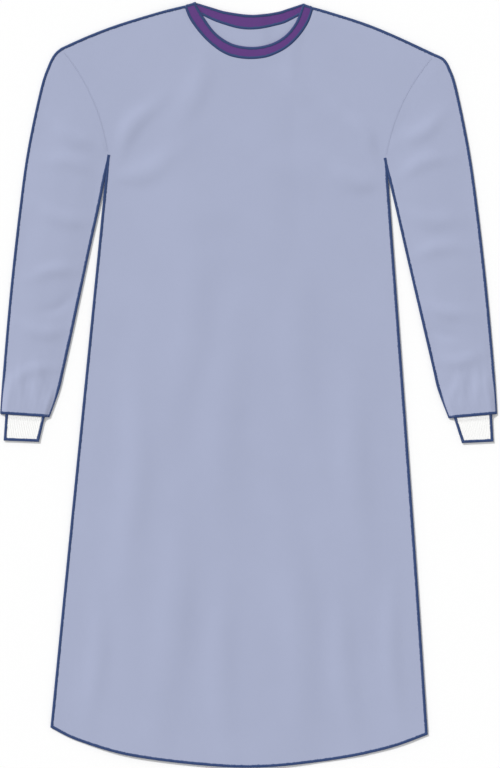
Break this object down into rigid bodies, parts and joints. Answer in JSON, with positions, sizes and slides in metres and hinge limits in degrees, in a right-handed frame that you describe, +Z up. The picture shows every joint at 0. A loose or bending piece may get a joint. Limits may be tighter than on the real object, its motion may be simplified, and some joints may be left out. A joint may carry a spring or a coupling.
{
  "type": "surgical gown",
  "caption": "Long-sleeved surgical gown laid flat front up, round neck with a bound band, overlapping backs and rib-knit cuffs.",
  "frame": {"origin": "centre of the garment's outline, on the surface it lies on", "axes": "+X to the viewer's right from above, towards the wearer's left; +Y from the hem to the neck; +Z up, out of the front"},
  "size_m": [0.8245, 1.2699, 0.0062],
  "materials": {
    "nonwoven_blue": "matt soft non-woven cloth in pale grey-blue, with small bonded points",
    "rib_knit_white": "matt white rib knit",
    "band_purple": "matt purple binding tape"
  },
  "bodies": {
    "root": {"front": "nonwoven_blue", "back_right": "nonwoven_blue", "back_left": "nonwoven_blue", "sleeve_right": "nonwoven_blue", "sleeve_left": "nonwoven_blue", "cuff_right": "rib_knit_white", "cuff_left": "rib_knit_white", "neckband": "band_purple"}
  },
  "joints": []
}
